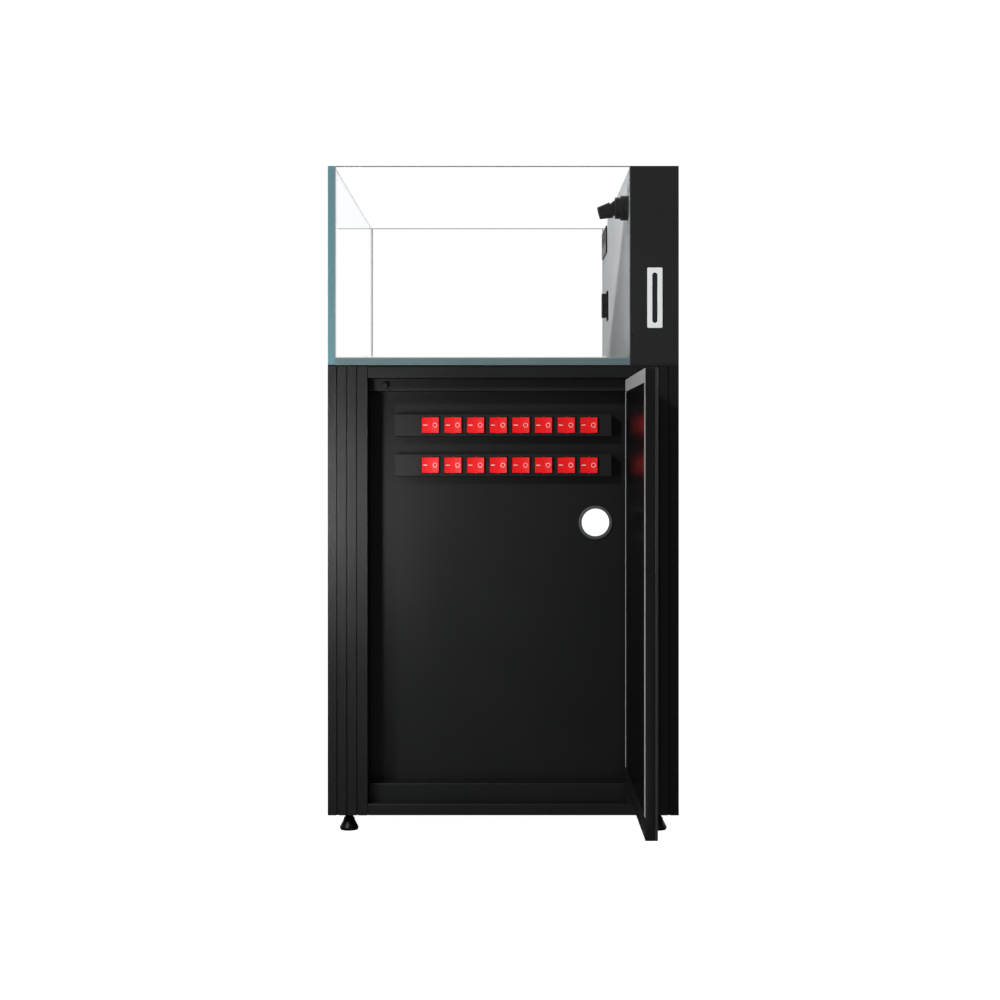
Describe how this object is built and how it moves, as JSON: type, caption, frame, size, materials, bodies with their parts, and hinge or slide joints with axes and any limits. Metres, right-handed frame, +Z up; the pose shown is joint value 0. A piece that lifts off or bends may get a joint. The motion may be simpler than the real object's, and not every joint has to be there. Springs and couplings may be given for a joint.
{
  "type": "aquarium on stand",
  "caption": "Rimless glass aquarium with a rear overflow box on an aluminium-framed cabinet, with its end door open on switched power boards.",
  "frame": {"origin": "middle of the bounding box at floor level, with the end door open", "axes": "+Z up, +Y along the length away from the open end door, +X from the front glass to the overflow box"},
  "size_m": [0.6, 1.3386, 1.14],
  "materials": {
    "clear_glass": "polished clear float glass, teal cut edges",
    "sump_glass": "clear float glass",
    "silicone": "translucent silicone",
    "grey_film_glass": "light grey backing",
    "black_gloss": "glossy black",
    "white_plastic": "matt white",
    "black_plastic": "fine matt",
    "grey_plastic": "smooth grey pipe",
    "red_plastic": "moulded red",
    "foam_rubber": "closed-cell foam",
    "black_aluminium": "satin black powder coat",
    "black_board": "satin black laminate",
    "grommet_rubber": "dark grey rubber",
    "door_paint": "satin black",
    "door_gloss": "glossy black",
    "steel": "zinc plated",
    "red_rocker": "glossy red",
    "foot_metal": "black coated"
  },
  "bodies": {
    "aquarium": {"base_board": "black_board", "base_glass": "clear_glass", "bottom_beams": "black_aluminium", "bulkhead_fittings": "grey_plastic", "cable_grommet": "grommet_rubber", "corner_posts": "black_aluminium", "door_pivots": "steel", "drain_pipe": "grey_plastic", "end_glasses": "clear_glass", "face_rails": "black_aluminium", "far_end_panel": "black_board", "front_glass": "clear_glass", "levelling_mat": "foam_rubber", "overflow_back_panel": "black_gloss", "overflow_end_plates": "black_gloss", "overflow_floor": "black_gloss", "partition_panel": "black_board", "power_boards": "black_plastic", "probe_holder": "black_plastic", "push_latches": "black_plastic", "rear_panel": "black_board", "rear_wall": "grey_film_glass", "return_bulkhead": "black_plastic", "return_pipe": "grey_plastic", "return_pump": "black_plastic", "silicone_seams": "silicone", "slotted_bracket": "white_plastic", "sump_tank": "sump_glass", "switch_bezels": "black_plastic", "top_beams": "black_aluminium", "top_board": "black_board", "valve_body": "grey_plastic"},
    "end_door": {"end_door_core": "door_paint", "end_door_skin": "door_paint", "end_door_liner": "door_gloss"},
    "front_door_near": {"front_door_near": "door_paint"},
    "front_door_far": {"front_door_far": "door_paint"},
    "weir_comb": {"weir_comb": "black_plastic"},
    "return_nozzle": {"return_nozzle": "black_plastic"},
    "valve_handwheel": {"valve_handwheel": "red_plastic"},
    "rocker_a1": {"rocker_a1": "red_rocker"},
    "rocker_a2": {"rocker_a2": "red_rocker"},
    "rocker_a3": {"rocker_a3": "red_rocker"},
    "rocker_a4": {"rocker_a4": "red_rocker"},
    "rocker_a5": {"rocker_a5": "red_rocker"},
    "rocker_a6": {"rocker_a6": "red_rocker"},
    "rocker_a7": {"rocker_a7": "red_rocker"},
    "rocker_a8": {"rocker_a8": "red_rocker"},
    "rocker_b1": {"rocker_b1": "red_rocker"},
    "rocker_b2": {"rocker_b2": "red_rocker"},
    "rocker_b3": {"rocker_b3": "red_rocker"},
    "rocker_b4": {"rocker_b4": "red_rocker"},
    "rocker_b5": {"rocker_b5": "red_rocker"},
    "rocker_b6": {"rocker_b6": "red_rocker"},
    "rocker_b7": {"rocker_b7": "red_rocker"},
    "rocker_b8": {"rocker_b8": "red_rocker"},
    "foot_near_front": {"foot_near_front": "foot_metal"},
    "foot_near_rear": {"foot_near_rear": "foot_metal"},
    "foot_far_front": {"foot_far_front": "foot_metal"},
    "foot_far_rear": {"foot_far_rear": "foot_metal"}
  },
  "joints": [
    {"name": "end_door_hinge", "type": "hinge", "parent": "aquarium", "child": "end_door", "pos_m": [0.219, -0.22125, 0.4265], "axis": [0, 0, 1], "range_deg": [-90, 8]},
    {"name": "front_door_near_hinge", "type": "hinge", "parent": "aquarium", "child": "front_door_near", "pos_m": [-0.2905, -0.14975, 0.4265], "axis": [0, 0, 1], "range_deg": [0, 100]},
    {"name": "front_door_far_hinge", "type": "hinge", "parent": "aquarium", "child": "front_door_far", "pos_m": [-0.2905, 0.58825, 0.4265], "axis": [0, 0, -1], "range_deg": [0, 100]},
    {"name": "weir_comb_lift", "type": "slide", "parent": "aquarium", "child": "weir_comb", "axis": [0, 0, 1], "range_m": [0, 0.06]},
    {"name": "return_nozzle_tilt", "type": "hinge", "parent": "aquarium", "child": "return_nozzle", "pos_m": [0.199, -0.17875, 1.074], "axis": [0, 1, 0], "range_deg": [-5, 35]},
    {"name": "valve_spindle", "type": "hinge", "parent": "aquarium", "child": "valve_handwheel", "pos_m": [0.2145, 0.52925, 0.65], "axis": [1, 0, 0], "continuous": true},
    {"name": "rocker_a1_switch", "type": "hinge", "parent": "aquarium", "child": "rocker_a1", "pos_m": [-0.126, -0.18675, 0.6975], "axis": [0, 0, 1], "range_deg": [0, 16]},
    {"name": "rocker_a2_switch", "type": "hinge", "parent": "aquarium", "child": "rocker_a2", "pos_m": [-0.0868, -0.18675, 0.6975], "axis": [0, 0, 1], "range_deg": [0, 16]},
    {"name": "rocker_a3_switch", "type": "hinge", "parent": "aquarium", "child": "rocker_a3", "pos_m": [-0.0476, -0.18675, 0.6975], "axis": [0, 0, 1], "range_deg": [0, 16]},
    {"name": "rocker_a4_switch", "type": "hinge", "parent": "aquarium", "child": "rocker_a4", "pos_m": [-0.0084, -0.18675, 0.6975], "axis": [0, 0, 1], "range_deg": [0, 16]},
    {"name": "rocker_a5_switch", "type": "hinge", "parent": "aquarium", "child": "rocker_a5", "pos_m": [0.0308, -0.18675, 0.6975], "axis": [0, 0, 1], "range_deg": [0, 16]},
    {"name": "rocker_a6_switch", "type": "hinge", "parent": "aquarium", "child": "rocker_a6", "pos_m": [0.07, -0.18675, 0.6975], "axis": [0, 0, 1], "range_deg": [0, 16]},
    {"name": "rocker_a7_switch", "type": "hinge", "parent": "aquarium", "child": "rocker_a7", "pos_m": [0.1092, -0.18675, 0.6975], "axis": [0, 0, 1], "range_deg": [0, 16]},
    {"name": "rocker_a8_switch", "type": "hinge", "parent": "aquarium", "child": "rocker_a8", "pos_m": [0.1484, -0.18675, 0.6975], "axis": [0, 0, 1], "range_deg": [0, 16]},
    {"name": "rocker_b1_switch", "type": "hinge", "parent": "aquarium", "child": "rocker_b1", "pos_m": [-0.126, -0.18675, 0.6282], "axis": [0, 0, 1], "range_deg": [0, 16]},
    {"name": "rocker_b2_switch", "type": "hinge", "parent": "aquarium", "child": "rocker_b2", "pos_m": [-0.0868, -0.18675, 0.6282], "axis": [0, 0, 1], "range_deg": [0, 16]},
    {"name": "rocker_b3_switch", "type": "hinge", "parent": "aquarium", "child": "rocker_b3", "pos_m": [-0.0476, -0.18675, 0.6282], "axis": [0, 0, 1], "range_deg": [0, 16]},
    {"name": "rocker_b4_switch", "type": "hinge", "parent": "aquarium", "child": "rocker_b4", "pos_m": [-0.0084, -0.18675, 0.6282], "axis": [0, 0, 1], "range_deg": [0, 16]},
    {"name": "rocker_b5_switch", "type": "hinge", "parent": "aquarium", "child": "rocker_b5", "pos_m": [0.0308, -0.18675, 0.6282], "axis": [0, 0, 1], "range_deg": [0, 16]},
    {"name": "rocker_b6_switch", "type": "hinge", "parent": "aquarium", "child": "rocker_b6", "pos_m": [0.07, -0.18675, 0.6282], "axis": [0, 0, 1], "range_deg": [0, 16]},
    {"name": "rocker_b7_switch", "type": "hinge", "parent": "aquarium", "child": "rocker_b7", "pos_m": [0.1092, -0.18675, 0.6282], "axis": [0, 0, 1], "range_deg": [0, 16]},
    {"name": "rocker_b8_switch", "type": "hinge", "parent": "aquarium", "child": "rocker_b8", "pos_m": [0.1484, -0.18675, 0.6282], "axis": [0, 0, 1], "range_deg": [0, 16]},
    {"name": "foot_near_front_turn", "type": "hinge", "parent": "aquarium", "child": "foot_near_front", "pos_m": [-0.266, -0.19675, 0], "axis": [0, 0, 1], "continuous": true},
    {"name": "foot_near_rear_turn", "type": "hinge", "parent": "aquarium", "child": "foot_near_rear", "pos_m": [0.266, -0.19675, 0], "axis": [0, 0, 1], "continuous": true},
    {"name": "foot_far_front_turn", "type": "hinge", "parent": "aquarium", "child": "foot_far_front", "pos_m": [-0.266, 0.63525, 0], "axis": [0, 0, 1], "continuous": true},
    {"name": "foot_far_rear_turn", "type": "hinge", "parent": "aquarium", "child": "foot_far_rear", "pos_m": [0.266, 0.63525, 0], "axis": [0, 0, 1], "continuous": true}
  ]
}
